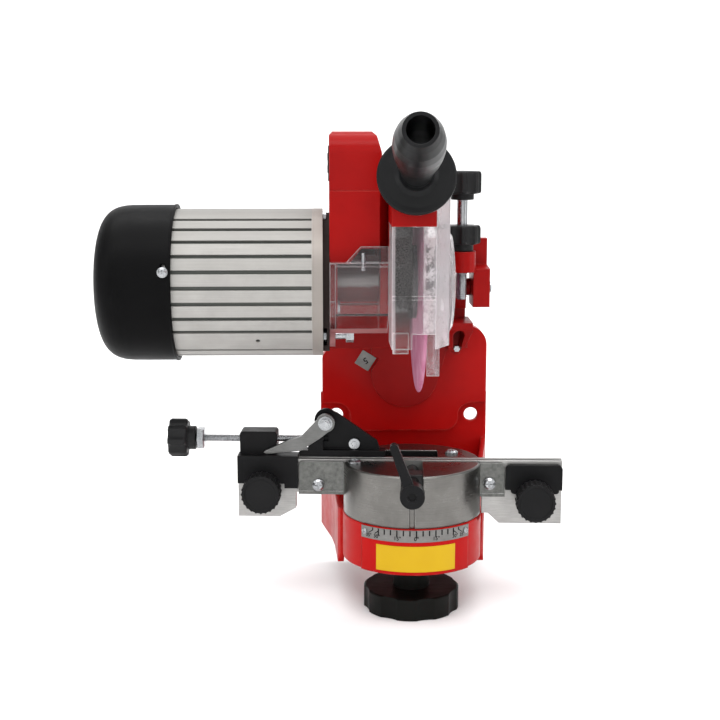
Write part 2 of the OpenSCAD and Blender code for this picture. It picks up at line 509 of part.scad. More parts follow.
module clamp_nut() { color("darkgray") vise() difference() { box(-6.9, 6.9, -36, -24, -14.9, -1.2); cyly(4.55, -40, -20, 0, -7); } }
// stud and cranked lever that close the jaws, turned about Y
module clamp_lever() {
  color([0.1, 0.1, 0.1]) vise() {
    cyly(4.5, -62, -jaw_gap / 2 - jaw_t - 0.3, 0, -7);
    difference() { union() { cyly(7.8, -68, -58, 0, -7); translate([0, 0, -7]) rotate([0, -20.5, 0]) alongy(-67, -61.5) { polygon([[-3.4, 0], [3.4, 0], [2.6, 33], [-2.6, 33]]); translate([0, 33]) circle(r = 2.6); } } cyly(3, -70, -66.5, 0, -7, 6); }
  }
}
module rail_covers() {
  color([0.1, 0.1, 0.1]) vise() {
    yr = jaw_gap / 2 + jaw_t + 0.02;
    // left cover with the block of the stop screw
    difference() {
      union() {
        box(-117, -76.3, -7.4, -5.2, -15.6, 1.6); box(-85.5, -76.3, -7.4, -5.2, -18.8, 1.6);
        box(-117, -76.3, -5.3, -3.4, -15.6, -13.6);
        box(-117, -76.3, -7.4, yr + 2.2, 1.05, 3.2); box(-117, -76.3, yr, yr + 2.2, -14, 3.2);
        alongy(0.8, 15) { rrect(-116, -91, 3, 18.2, 2); translate([-116, 3]) square([25, 6]); }
      }
      cylx(2.56, -120, -80, stop_y, stop_z);
      cyly(4, -10, 10, thumb_at[0][0], thumb_at[0][1]);
    }
    difference() {
      union() {
        alongy(-7.4, -5.2) { translate([62.4, -18.6]) square([37.8, 14]); translate([65.4, -8]) square([31.8, 6.4]); for (x = [65.4, 97.2]) translate([x, -4.6]) circle(r = 3); rrect(66, 98, -21.2, -12, 2); }
        box(65.4, 97.2, -7.4, -3.5, -3.4, -1.6);
        box(62.4, 100.2, -5.3, -3.4, -18.6, -16.6);
        box(62.4, 100.2, yr, yr + 2.2, -17.8, 0.6);
      }
      cyly(4, -10, 10, thumb_at[1][0], thumb_at[1][1]);
    }
  }
}
module stop_screw() {
  color("silver") vise() {
    cylx(2.5, -150, -60, stop_y, stop_z);
    difference() { cylx(7.6, -145.4, -140.2, stop_y, stop_z, 6); cylx(2.5, -148, -130, stop_y, stop_z); }
    translate([-164, stop_y, stop_z]) rotate([0, 90, 0]) difference() { union() { lobed(13, 12.6, 8, 5); translate([0, 0, 12]) cylinder(r = 8, h = 6); } translate([0, 0, 14]) cylinder(r = 2.5, h = 10); }
  }
}
module stop_slide() {
  color([0.12, 0.12, 0.12]) vise() difference() {
    union() {
      alongy(6.2, 9.2) { polygon([[-76, 1.4], [-68, 8], [-65.8, 25], [-58, 33], [-50.6, 30.2], [-23.6, 11.2], [-21.6, 5], [-21.6, 1.4]]); translate([-58, 25]) circle(r = 8); }
      box(-76, -18, 1.2, 11, 1.4, 5.4);
      box(-70, -60, 1.2, 9.2, 5.2, 17.6);
    }
    cylx(2.56, -100, -56.5, stop_y, stop_z);
    cyly(2.52, 0, 20, -58, 25);
    cyly(3.02, 0, 20, -39, 9.4);
  }
}
// pivot of the finger and the screw that clamps the slide
module slide_bolts() {
  color("silver") vise() {
    cyly(2.5, -8.2, 9.3, -58, 25);
    cyly(4.6, 9.2, 12, -58, 25, 6);
    cyly(4.8, -3.7, -3.2, -58, 25);
    cyly(3.8, -7.2, -3.7, -58, 25, 6);
    difference() { cyly(3.7, 4, 6.2, -39, 9.4); cyly(1.9, 3, 4.9, -39, 9.4, 6); }
    cyly(3, 6, 12, -39, 9.4);
    cyly(4.5, 9.2, 11.6, -39, 9.4, 6);
  }
}
// bent finger that holds the cutter, pivoting on the slide
module stop_pawl() {
  color("silver") vise() difference() {
    union() {
      alongy(-3, 0.4) { polygon([[-64.2, 26.6], [-74.4, 15.8], [-83, 13], [-98.6, 5.9], [-99.6, 4.7], [-97.6, 3.6], [-75, 6], [-62, 14.4], [-53, 21.6]]); translate([-58, 25]) circle(r = 6.2); }
      cyly(5, 0.2, 6, -58, 25);
    }
    cyly(2.54, -5, 10, -58, 25);
  }
}
module thumb(x, z) {
  translate([x, 0, z]) {
    difference() {
      union() { cyly(12.4, -26, -13.4); for (i = [0:23]) rotate([0, i * 15, 0]) translate([12.2, 0, 0]) cyly(0.9, -25.4, -14, 0, 0, 16); }
      cyly(10.6, -27, -25.4);
    }
    cyly(6.4, -13.5, -7.6);
    cyly(3, -8, 10.5);
    cyly(5.4, 7.2, 10.4, 0, 0, 6);
  }
}
module left_thumb_knob() { color([0.1, 0.1, 0.1]) vise() thumb(thumb_at[0][0], thumb_at[0][1]); }
module right_thumb_knob() { color([0.1, 0.1, 0.1]) vise() thumb(thumb_at[1][0], thumb_at[1][1]); }
module base_lock_knob() {
  color([0.1, 0.1, 0.1]) place() {
    cylz(5, -90, -40);
    cylz(12.3, -88, -65);
    translate([0, 0, -102]) difference() {
      union() { cylinder(r = 32.2, h = 14); translate([0, 0, 14]) cylinder(r1 = 32.2, r2 = 31, h = 0.8); }
      for (i = [0:7]) rotate([0, 0, i * 45 + 14]) translate([51, 0, -1]) cylinder(r = 20.4, h = 18);
      translate([0, 0, -1]) cylinder(r = 26, h = 5);
    }
  }
}

base_bracket();
dial_plate();
dial_rivets();
front_label();
tilt_scale();
tilt_nut();
column();
tilt_bolt();
tilt_lock_screw();
hinge_pin();
hinge_clips();
return_spring();
head_casting();
switch_cover();
cover_screws();
switch_frame();
rocker_switch();
cord_gland();
motor_flange();
motor_housing();
rear_shield();
end_cap();
cap_screws();
flange_screws();
stator_core();
windings();
motor_bearings();
rotor_core();
rotor_shaft();
cooling_fan();
wheel_flanges();
grinding_wheel();
spindle_nut();
arbor_tube();
wheel_guard();
front_window();
hub_cover();
guard_flap();
side_shield();
shield_bolt();
handle_grip();
handle_stud();
depth_rod();
depth_lock_knob();
drum();
drum_screws();
rear_jaw();
front_jaw();
jaw_brackets();
bracket_screws();
clamp_nut();
clamp_lever();
rail_covers();
stop_screw();
stop_slide();
slide_bolts();
stop_pawl();
left_thumb_knob();
right_thumb_knob();
base_lock_knob();
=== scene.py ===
import math

import bpy
import bmesh
import numpy as np
from mathutils import Matrix, Vector


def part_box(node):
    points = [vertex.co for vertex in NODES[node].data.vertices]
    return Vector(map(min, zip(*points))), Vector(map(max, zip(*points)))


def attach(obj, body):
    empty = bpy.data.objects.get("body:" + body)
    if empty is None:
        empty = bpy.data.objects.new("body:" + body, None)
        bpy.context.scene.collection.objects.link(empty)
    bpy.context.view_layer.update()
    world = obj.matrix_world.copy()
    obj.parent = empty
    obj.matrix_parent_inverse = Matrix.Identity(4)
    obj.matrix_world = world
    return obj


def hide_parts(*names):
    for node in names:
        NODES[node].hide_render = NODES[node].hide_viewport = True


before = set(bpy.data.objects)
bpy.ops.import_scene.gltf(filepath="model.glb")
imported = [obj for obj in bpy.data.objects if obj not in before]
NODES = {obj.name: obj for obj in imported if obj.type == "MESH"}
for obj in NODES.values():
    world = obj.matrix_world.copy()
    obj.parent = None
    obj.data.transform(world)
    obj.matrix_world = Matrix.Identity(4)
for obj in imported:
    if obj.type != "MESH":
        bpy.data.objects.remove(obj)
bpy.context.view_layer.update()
# working frame of the drawing, in mm, to the row frame in metres
WY, WZ = 102.0, 9.6


def P(x, y, z):
    return Vector((x / 1000.0, (y - WY) / 1000.0, (z - WZ) / 1000.0))


VISE = Matrix.Translation(P(0, 0, 0)) @ Matrix.Rotation(math.radians(-3.5), 4, "Z") @ Matrix.Translation(-P(0, 0, 0))


# ---------------------------------------------------------------- camera
cam_data = bpy.data.cameras.new("photo_camera")
cam_data.lens = 65.0
cam_data.sensor_width = 36.0
cam_data.sensor_height = 36.0
cam_data.sensor_fit = "HORIZONTAL"
cam_data.clip_start = 0.05
cam = bpy.data.objects.new("photo_camera", cam_data)
cam.location = (-0.05714, -0.94941, 0.20792)
cam.rotation_euler = (math.radians(80), 0.0, math.radians(-1.5))
bpy.context.scene.collection.objects.link(cam)
bpy.context.scene.camera = cam
bpy.context.scene.view_settings.view_transform = "Standard"
bpy.context.scene.view_settings.look = "None"


# ---------------------------------------------------------------- node helpers
class Graph:
    """A small wrapper that makes and links shader nodes."""

    def __init__(self, name):
        self.mat = bpy.data.materials.new(name)
        self.mat.use_nodes = True
        self.t = self.mat.node_tree
        self.t.nodes.clear()

    def put(self, kind, ins=None, **props):
        n = self.t.nodes.new(kind)
        for k, v in props.items():
            setattr(n, k, v)
        for k, v in (ins or {}).items():
            s = n.inputs[k]
            if isinstance(v, bpy.types.NodeSocket):
                self.t.links.new(v, s)
            else:
                s.default_value = v
        return n

    def coords(self, scale=(1, 1, 1), offset=(0, 0, 0), rot=(0, 0, 0)):
        c = self.put("ShaderNodeTexCoord")
        m = self.put("ShaderNodeMapping", {"Vector": c.outputs["Object"], "Location": offset, "Rotation": rot, "Scale": scale})
        return m.outputs["Vector"]

    def noise(self, vec, scale, detail=3.0, rough=0.55, distort=0.0):
        return self.put("ShaderNodeTexNoise", {"Vector": vec, "Scale": scale, "Detail": detail, "Roughness": rough, "Distortion": distort}).outputs["Fac"]

    def remap(self, v, a, b, c, d):
        return self.put("ShaderNodeMapRange", {"Value": v, "From Min": a, "From Max": b, "To Min": c, "To Max": d}).outputs["Result"]

    def math(self, op, a, b=0.5, clamp=False):
        n = self.put("ShaderNodeMath", operation=op, use_clamp=clamp)
        for i, v in enumerate((a, b)):
            if isinstance(v, bpy.types.NodeSocket):
                self.t.links.new(v, n.inputs[i])
            else:
                n.inputs[i].default_value = v
        return n.outputs[0]

    def mix(self, fac, a, b, blend="MIX"):
        n = self.t.nodes.new("ShaderNodeMix")
        n.data_type = "RGBA"
        n.blend_type = blend
        for idx, v in ((0, fac), (6, a), (7, b)):
            s = n.inputs[idx]
            if isinstance(v, bpy.types.NodeSocket):
                self.t.links.new(v, s)
            elif idx == 0:
                s.default_value = v
            else:
                s.default_value = (v[0], v[1], v[2], 1.0)
        return n.outputs[2]

    def bump(self, height, strength, dist, normal=None):
        ins = {"Height": height, "Strength": strength, "Distance": dist}
        if normal is not None:
            ins["Normal"] = normal
        return self.put("ShaderNodeBump", ins).outputs["Normal"]

    def rounded(self, radius):
        return self.put("ShaderNodeBevel", {"Radius": radius}, samples=6).outputs["Normal"]

    def edge(self, rounded, lo=0.02, hi=0.35):
        g = self.put("ShaderNodeNewGeometry")
        d = self.put("ShaderNodeVectorMath", {0: rounded, 1: g.outputs["Normal"]}, operation="DOT_PRODUCT")
        inv = self.math("SUBTRACT", 1.0, d.outputs["Value"])
        return self.remap(inv, lo, hi, 0.0, 1.0)

    def xyz(self):
        c = self.put("ShaderNodeTexCoord")
        return self.put("ShaderNodeSeparateXYZ", {0: c.outputs["Object"]}).outputs

    def above(self, v, edge, soft=0.0003):
        """1 where v is over the edge, 0 under it."""
        return self.remap(v, edge - soft, edge + soft, 0.0, 1.0)

    def radius(self, a, b, ca, cb):
        da = self.math("SUBTRACT", a, ca)
        db = self.math("SUBTRACT", b, cb)
        return self.math("SQRT", self.math("ADD", self.math("MULTIPLY", da, da), self.math("MULTIPLY", db, db)))

    def principled(self, ins):
        p = self.put("ShaderNodeBsdfPrincipled", ins)
        o = self.put("ShaderNodeOutputMaterial")
        self.t.links.new(p.outputs[0], o.inputs["Surface"])
        return p


def col(r, g, b):
    """sRGB 0..255 to linear."""
    def f(v):
        v /= 255.0
        return v / 12.92 if v <= 0.04045 else ((v + 0.055) / 1.055) ** 2.4
    return (f(r), f(g), f(b))


def col4(c):
    return (c[0], c[1], c[2], 1.0)


# ---------------------------------------------------------------- materials
def paint_red(name="red_enamel", radius=0.0012, a=col(203, 30, 27), b=col(182, 20, 19), darken_inside=False):
    g = Graph(name)
    v = g.coords()
    rd = g.rounded(radius)
    big = g.noise(v, 14, 4, 0.6)
    mid = g.noise(v, 130, 4, 0.6)
    peel = g.noise(v, 620, 2, 0.5)
    fine = g.noise(v, 2600, 2, 0.5)
    c = g.mix(g.remap(big, 0.35, 0.65, 0, 1), a, b)
    # the outer edges are painted a little lighter, partly thin-paint wear and partly a painted highlight; dust sits in
    # patches
    e = g.edge(rd, 0.01, 0.3)
    edge_wear_and_highlight = g.math("MULTIPLY", e, g.remap(mid, 0.42, 0.62, 0.0, 0.35), True)
    c = g.mix(edge_wear_and_highlight, c, col(226, 92, 82))
    rough = g.math("ADD", g.remap(mid, 0.3, 0.7, 0.3, 0.42), g.math("MULTIPLY", edge_wear_and_highlight, 0.2))
    if darken_inside:
        # the inside of the guard is darkened to a speckled near black
        q = g.xyz()
        inside = g.math("MULTIPLY", g.above(q[0], -0.0166), g.math("SUBTRACT", 1.0, g.above(g.radius(q[1], q[2], -0.102, 0.1104), 0.0764)))
        inside = g.math("MULTIPLY", inside, g.math("SUBTRACT", 1.0, g.above(q[0], 0.0072)))
        # the tunnel at the foot of the box is darkened too: painted shade in the recess
        tunnel_shade = g.math("MULTIPLY", g.above(q[1], -0.1417, 0.0003), g.math("SUBTRACT", 1.0, g.above(q[1], -0.1255, 0.0003)))
        tunnel_shade = g.math("MULTIPLY", tunnel_shade, g.math("MULTIPLY", g.above(q[0], -0.0446, 0.0002), g.math("SUBTRACT", 1.0, g.above(q[0], -0.0230, 0.0002))))
        tunnel_shade = g.math("MULTIPLY", tunnel_shade, g.math("SUBTRACT", 1.0, g.above(q[2], 0.1360, 0.0002)))
        inside = g.math("MAXIMUM", inside, g.math("MULTIPLY", tunnel_shade, 0.85))
        dust = g.noise(v, 700, 5, 0.75)
        dirt = g.mix(g.remap(dust, 0.35, 0.7, 0, 1), (0.02, 0.019, 0.019), (0.075, 0.07, 0.07))
        c = g.mix(inside, c, dirt)
        rough = g.math("MAXIMUM", rough, g.math("MULTIPLY", inside, 0.7))
    n = g.bump(peel, 0.16, 0.0001, rd)
    n = g.bump(fine, 0.06, 0.00004, n)
    g.principled({"Base Color": c, "Roughness": rough, "Normal": n, "Specular IOR Level": 0.06, "Coat Weight": 0.05, "Coat Roughness": 0.16, "IOR": 1.5})
    return g.mat


def plastic(name, a, b, lo, hi, grain=2200, depth=0.00005, strength=0.35, radius=0.0008, coat=0.0, coat_rough=0.1, edge_col=None, spec=0.1):
    g = Graph(name)
    v = g.coords()
    rd = g.rounded(radius)
    big = g.noise(v, 22, 3, 0.6)
    smear = g.noise(g.coords((1.0, 3.0, 2.0)), 60, 5, 0.65)
    tex = g.noise(v, grain, 2, 0.5)
    c = g.mix(g.remap(big, 0.3, 0.7, 0, 1), a, b)
    e = g.edge(rd, 0.01, 0.3)
    c = g.mix(g.math("MULTIPLY", e, g.remap(smear, 0.35, 0.65, 0.05, 0.4)), c, edge_col or tuple(min(1, x * 2.2 + 0.01) for x in b))
    rough = g.remap(smear, 0.3, 0.7, lo, hi)
    n = g.bump(tex, strength, depth, rd)
    n = g.bump(g.noise(v, 90, 2, 0.5), 0.15, 0.0002, n)
    g.principled({"Base Color": c, "Roughness": rough, "Normal": n, "Coat Weight": coat, "Coat Roughness": coat_rough, "IOR": 1.46, "Specular IOR Level": spec})
    return g.mat


def metal(name, a, b, lo, hi, stretch=(1, 1, 1), grain=1500, depth=0.00003, strength=0.4, radius=0.0005, patch=40, aniso=0.0, edge_col=None):
    g = Graph(name)
    v = g.coords()
    rd = g.rounded(radius)
    pt = g.noise(v, patch, 5, 0.65)
    line = g.noise(g.coords(stretch), grain, 3, 0.6)
    c = g.mix(g.remap(pt, 0.3, 0.7, 0, 1), a, b)
    c = g.mix(g.remap(line, 0.3, 0.7, 0.0, 0.3), c, tuple(x * 0.72 for x in b))
    e = g.edge(rd, 0.02, 0.35)
    c = g.mix(g.math("MULTIPLY", e, 0.5), c, edge_col or tuple(min(1.0, x * 1.25) for x in a))
    rough = g.math("ADD", g.remap(line, 0.3, 0.7, lo, hi), g.remap(pt, 0.3, 0.7, -0.04, 0.05))
    n = g.bump(line, strength, depth, rd)
    g.principled({"Base Color": c, "Metallic": 1.0, "Roughness": rough, "Normal": n, "Anisotropic": aniso})
    return g.mat


def bar_housing(name):
    """Extruded motor housing: brushed along its axis, with groove floors painted dark, partly their own tone and
    partly painted shade, painted shade in the gap by the head, and a top painted darker against the light from above.
    """
    g = Graph(name)
    q = g.xyz()
    r = g.radius(q[1], q[2], -0.102, 0.1104)
    v = g.coords()
    rd = g.rounded(0.0003)
    pt = g.noise(v, 60, 4, 0.6)
    line = g.noise(g.coords((0.02, 1, 1)), 1500, 3, 0.6)
    c = g.mix(g.remap(pt, 0.3, 0.7, 0, 1), (0.385, 0.375, 0.357), (0.33, 0.322, 0.305))
    c = g.mix(g.remap(line, 0.3, 0.7, 0.0, 0.3), c, (0.28, 0.272, 0.262))
    # the top of the housing is painted darker: painted shade that evens out the strong light from above
    c = g.mix(g.remap(q[2], 0.118, 0.15, 0.0, 0.85), c, (0.215, 0.209, 0.197))
    # toward the head the housing is painted brownish, then near black in the gap: painted shade of the gap by the head
    c = g.mix(g.above(q[0], -0.0659, 0.0002), c, (0.27, 0.245, 0.225))
    # the groove floors are painted dark grey-green, partly their own tone and partly painted shade in the grooves
    groove_floor_shade = g.math("SUBTRACT", 1.0, g.remap(r, 0.0460, 0.0476, 0.0, 1.0))
    c = g.mix(g.math("MULTIPLY", groove_floor_shade, 0.93), c, (0.075, 0.082, 0.074))
    gap = g.above(q[0], -0.05912, 0.00005)
    c = g.mix(gap, c, (0.014, 0.008, 0.007))
    rough = g.math("ADD", g.remap(line, 0.3, 0.7, 0.44, 0.56), g.math("MULTIPLY", gap, 0.3))
    metal_part = g.math("MULTIPLY", g.math("MULTIPLY", g.math("SUBTRACT", 1.0, gap), g.math("SUBTRACT", 1.0, g.math("MULTIPLY", groove_floor_shade, 0.9))), 0.4)
    n = g.bump(line, 0.3, 0.00002, rd)
    g.principled({"Base Color": c, "Metallic": metal_part, "Roughness": rough, "Normal": n, "Specular IOR Level": 0.2})
    return g.mat


def arbor_metal(name):
    """Grey tube with patchy roughness; its lower half is painted dark red and less metallic, a painted reflection of
    the red casting around it.
    """
    g = Graph(name)
    q = g.xyz()
    v = g.coords()
    rd = g.rounded(0.0006)
    line = g.noise(g.coords((0.05, 1, 1)), 900, 3, 0.6)
    pt = g.noise(v, 260, 4, 0.65)
    c = g.mix(g.remap(line, 0.3, 0.7, 0, 1), (0.20, 0.19, 0.185), (0.14, 0.135, 0.13))
    # lower half: painted reflection of the red casting, dark red and less metallic
    low = g.math("SUBTRACT", 1.0, g.above(g.math("ADD", q[2], g.remap(pt, 0.3, 0.7, -0.0008, 0.0008)), 0.1090, 0.0008))
    c = g.mix(g.math("MULTIPLY", low, 0.92), c, (0.1, 0.004, 0.004))
    n = g.bump(line, 0.3, 0.00003, rd)
    g.principled({"Base Color": c, "Metallic": g.math("SUBTRACT", 1.0, g.math("MULTIPLY", low, 0.9)), "Roughness": g.remap(pt, 0.3, 0.7, 0.3, 0.48), "Normal": n, "Specular IOR Level": 0.15})
    return g.mat


def turned(name, cx, cy, a, b):
    """Metal turned on a lathe about a vertical axis at (cx, cy)."""
    g = Graph(name)
    tc = g.put("ShaderNodeTexCoord")
    s = g.put("ShaderNodeSeparateXYZ", {0: tc.outputs["Object"]})
    dx = g.math("SUBTRACT", s.outputs[0], cx)
    dy = g.math("SUBTRACT", s.outputs[1], cy)
    r = g.math("SQRT", g.math("ADD", g.math("MULTIPLY", dx, dx), g.math("MULTIPLY", dy, dy)))
    cv = g.put("ShaderNodeCombineXYZ", {0: r, 1: s.outputs[2], 2: 0.0}).outputs[0]
    rings = g.noise(cv, 1500, 3, 0.7)
    coarse = g.noise(cv, 350, 2, 0.5)
    v = g.coords()
    stain = g.noise(v, 55, 5, 0.7, 0.4)
    rd = g.rounded(0.0008)
    c = g.mix(g.remap(stain, 0.3, 0.7, 0, 1), a, b)
    c = g.mix(g.remap(rings, 0.3, 0.7, 0, 0.22), c, tuple(x * 0.6 for x in b))
    e = g.edge(rd, 0.02, 0.35)
    c = g.mix(g.math("MULTIPLY", e, 0.7), c, (0.62, 0.62, 0.61))
    # the pocket behind the rail is painted black inside: painted shade in the recess
    low = g.math("SUBTRACT", 1.0, g.above(s.outputs[2], -0.0104, 0.0002))
    high = g.above(s.outputs[2], -0.0228, 0.0002)
    back = g.above(s.outputs[1], -0.1000, 0.0002)
    inner = g.math("SUBTRACT", 1.0, g.above(r, 0.0362, 0.0002))
    pocket = g.math("MULTIPLY", g.math("MULTIPLY", low, high), g.math("MULTIPLY", back, inner))
    c = g.mix(pocket, c, (0.006, 0.006, 0.006))
    rough = g.math("ADD", g.remap(rings, 0.3, 0.7, 0.24, 0.36), g.remap(stain, 0.3, 0.7, -0.03, 0.06))
    n = g.bump(rings, 0.3, 0.00003, rd)
    n = g.bump(coarse, 0.12, 0.00006, n)
    g.principled({"Base Color": c, "Metallic": g.math("SUBTRACT", 1.0, pocket), "Roughness": rough, "Normal": n})
    return g.mat


def galvanised(name):
    g = Graph(name)
    v = g.coords()
    rd = g.rounded(0.0006)
    cells = g.put("ShaderNodeTexVoronoi", {"Vector": v, "Scale": 300.0, "Randomness": 1.0})
    spang = g.noise(v, 420, 5, 0.8)
    m = g.math("ADD", g.math("MULTIPLY", cells.outputs["Distance"], 0.25), g.math("MULTIPLY", spang, 0.9))
    c = g.mix(g.remap(m, 0.3, 0.75, 0, 1), (0.068, 0.07, 0.066), (0.165, 0.166, 0.158))
    e = g.edge(rd, 0.02, 0.35)
    c = g.mix(g.math("MULTIPLY", e, 0.6), c, (0.6, 0.6, 0.59))
    rough = g.remap(spang, 0.3, 0.7, 0.34, 0.56)
    n = g.bump(m, 0.5, 0.00007, rd)
    g.principled({"Base Color": c, "Metallic": 1.0, "Roughness": rough, "Normal": n})
    return g.mat


def clear_plastic(name, tint, lo=0.02, hi=0.1, frost=0.05, edge_highlight=0.55, lip=None):
    """Moulded polycarbonate: clear walls with faint flow marks, scuffs and grinding dust, and a whitish film on the
    edges, partly frosting and partly a painted highlight.
    """
    g = Graph(name)
    v = g.coords()
    flow = g.noise(g.coords((1, 1, 0.35)), 45, 3, 0.55, 0.6)
    scuff = g.noise(g.coords((1, 2, 9)), 240, 4, 0.7)
    dust = g.noise(v, 900, 3, 0.7)
    patch = g.noise(v, 28, 3, 0.6)
    e = g.edge(g.rounded(0.0011), 0.01, 0.22)
    c = g.mix(g.remap(flow, 0.35, 0.65, 0, 1), tint, tuple(x * 0.95 for x in tint))
    rough = g.remap(scuff, 0.35, 0.7, lo, hi)
    n = g.bump(flow, 0.14, 0.0003)
    n = g.bump(scuff, 0.08, 0.00003, n)
    clear = g.put("ShaderNodeBsdfPrincipled", {"Base Color": c, "Roughness": rough, "Normal": n, "Transmission Weight": 1.0, "IOR": 1.35, "Specular IOR Level": 0.5})
    film_col = g.mix(g.remap(dust, 0.35, 0.7, 0, 1), (0.78, 0.73, 0.75), (0.72, 0.67, 0.69))
    fac = g.math("MULTIPLY", g.remap(dust, 0.35, 0.7, frost * 0.3, frost * 1.6), g.remap(patch, 0.35, 0.65, 0.5, 1.6))
    # whitish film on the edges: partly frosting, partly a painted highlight
    fac = g.math("ADD", fac, g.math("MULTIPLY", e, edge_highlight), True)
    if lip is not None:
        # the turned-in lip at the foot is given a nearly opaque dull red film
        low = g.math("SUBTRACT", 1.0, g.above(g.xyz()[2], lip, 0.0003))
        film_col = g.mix(low, film_col, (0.36, 0.14, 0.14))
        fac = g.math("MAXIMUM", fac, g.math("MULTIPLY", low, 0.93))
    film = g.put("ShaderNodeBsdfPrincipled", {"Base Color": film_col, "Roughness": 0.45, "Normal": n, "Transmission Weight": 0.35, "IOR": 1.35})
    m = g.put("ShaderNodeMixShader", {0: fac})
    g.t.links.new(clear.outputs[0], m.inputs[1])
    g.t.links.new(film.outputs[0], m.inputs[2])
    o = g.put("ShaderNodeOutputMaterial")
    g.t.links.new(m.outputs[0], o.inputs["Surface"])
    return g.mat


def dusty_window(name):
    """The clear guard in front of the wheel: dark grinding dust clings to it beside the wheel."""
    g = Graph(name)
    v = g.coords()
    q = g.xyz()
    scuff = g.noise(g.coords((1, 2, 9)), 240, 4, 0.7)
    flow = g.noise(g.coords((1, 1, 0.35)), 45, 3, 0.55, 0.6)
    speck = g.noise(v, 900, 4, 0.75)
    streak = g.noise(g.coords((1.0, 1.0, 0.12)), 420, 4, 0.7)
    blot = g.noise(g.coords((1.0, 1.0, 0.8)), 330, 3, 0.6)
    e = g.edge(g.rounded(0.0011), 0.01, 0.22)
    n = g.bump(flow, 0.14, 0.0003)
    n = g.bump(scuff, 0.08, 0.00003, n)
    tint = g.mix(g.remap(flow, 0.35, 0.65, 0, 1), (0.985, 0.97, 0.978), (0.93, 0.915, 0.925))
    clear = g.put("ShaderNodeBsdfPrincipled", {"Base Color": tint, "Roughness": g.remap(scuff, 0.35, 0.7, 0.02, 0.1), "Normal": n, "Transmission Weight": 1.0, "IOR": 1.35, "Specular IOR Level": 0.5})
    film = g.put("ShaderNodeBsdfPrincipled", {"Base Color": (0.78, 0.73, 0.75, 1), "Roughness": 0.45, "Normal": n, "Transmission Weight": 0.35, "IOR": 1.35})
    dirt_col = g.mix(g.remap(speck, 0.35, 0.7, 0, 1), (0.02, 0.019, 0.019), (0.085, 0.08, 0.08))
    dust = g.put("ShaderNodeBsdfPrincipled", {"Base Color": dirt_col, "Roughness": 0.75, "Normal": n, "Specular IOR Level": 0.2})
    fac = g.math("MULTIPLY", g.remap(speck, 0.35, 0.7, 0.02, 0.1), g.remap(flow, 0.35, 0.65, 0.5, 1.5))
    # whitish film on the edges: partly frosting, partly a painted highlight
    fac = g.math("ADD", fac, g.math("MULTIPLY", e, 0.55), True)
    # frosted at the left corner, whitish haze right of the wheel
    haze = g.math("ADD", g.math("MULTIPLY", g.math("SUBTRACT", 1.0, g.above(q[0], -0.0159, 0.0005)), 0.3), g.math("MULTIPLY", g.above(q[0], 0.0078, 0.0012), 0.24))
    haze = g.math("ADD", haze, g.math("MULTIPLY", g.math("SUBTRACT", g.above(q[0], 0.0009, 0.0006), g.above(q[0], 0.0078, 0.0012)), g.remap(blot, 0.4, 0.6, 0.5, 0.3)))
    fac = g.math("ADD", fac, haze, True)
    m = g.put("ShaderNodeMixShader", {0: fac})
    g.t.links.new(clear.outputs[0], m.inputs[1])
    g.t.links.new(film.outputs[0], m.inputs[2])
    front = g.math("SUBTRACT", 1.0, g.above(q[1], -0.1740, 0.0004))
    # thick to the left of the wheel, thinning to the side wall and to the foot
    left = g.math("MULTIPLY", g.remap(q[0], -0.0150, -0.0060, 0.88, 0.96), g.math("SUBTRACT", 1.0, g.above(q[0], -0.0058, 0.0007)))
    left = g.math("MULTIPLY", left, g.above(q[0], -0.0160, 0.0005))
    left = g.math("MULTIPLY", left, g.remap(q[2], 0.0845, 0.1040, 0.12, 1.0))
    left = g.math("MULTIPLY", left, g.remap(streak, 0.3, 0.62, 0.84, 1.0))
    # blotches to the right of it
    right = g.math("MULTIPLY", g.above(q[0], 0.0022, 0.0005), g.math("SUBTRACT", 1.0, g.above(q[0], 0.0075, 0.0012)))
    right = g.math("MULTIPLY", right, g.math("MULTIPLY", g.remap(blot, 0.44, 0.58, 0.05, 0.6), g.math("MULTIPLY", g.remap(q[2], 0.106, 0.116, 0.15, 1.0), g.remap(q[2], 0.138, 0.146, 1.0, 0.25))))
    d = g.math("MULTIPLY", front, g.math("ADD", left, right), True)
    mm = g.put("ShaderNodeMixShader", {0: d})
    g.t.links.new(m.outputs[0], mm.inputs[1])
    g.t.links.new(dust.outputs[0], mm.inputs[2])
    o = g.put("ShaderNodeOutputMaterial")
    g.t.links.new(mm.outputs[0], o.inputs["Surface"])
    return g.mat


def abrasive(name):
    g = Graph(name)
    v = g.coords()
    grit = g.put("ShaderNodeTexVoronoi", {"Vector": v, "Scale": 1700.0, "Randomness": 1.0})
    soft = g.noise(v, 60, 4, 0.6)
    c = g.mix(g.remap(grit.outputs["Distance"], 0.1, 0.7, 0, 1), col(194, 122, 150), col(162, 92, 122))
    c = g.mix(g.remap(soft, 0.4, 0.7, 0, 0.35), c, col(214, 170, 190))
    n = g.bump(grit.outputs["Distance"], 0.9, 0.00025)
    g.principled({"Base Color": c, "Roughness": g.remap(soft, 0.3, 0.7, 0.82, 0.96), "Normal": n, "Specular IOR Level": 0.3})
    return g.mat


def windings_mat(name):
    g = Graph(name)
    w = g.put("ShaderNodeTexWave", {"Vector": g.coords((0.2, 1, 1), (0, 0, 0), (0.3, 0.2, 0.1)), "Scale": 420.0, "Distortion": 1.5})
    c = g.mix(w.outputs["Fac"], col(150, 74, 36), col(214, 128, 74))
    n = g.bump(w.outputs["Fac"], 0.8, 0.0003)
    g.principled({"Base Color": c, "Metallic": 1.0, "Roughness": g.remap(w.outputs["Fac"], 0, 1, 0.45, 0.3), "Normal": n})
    return g.mat


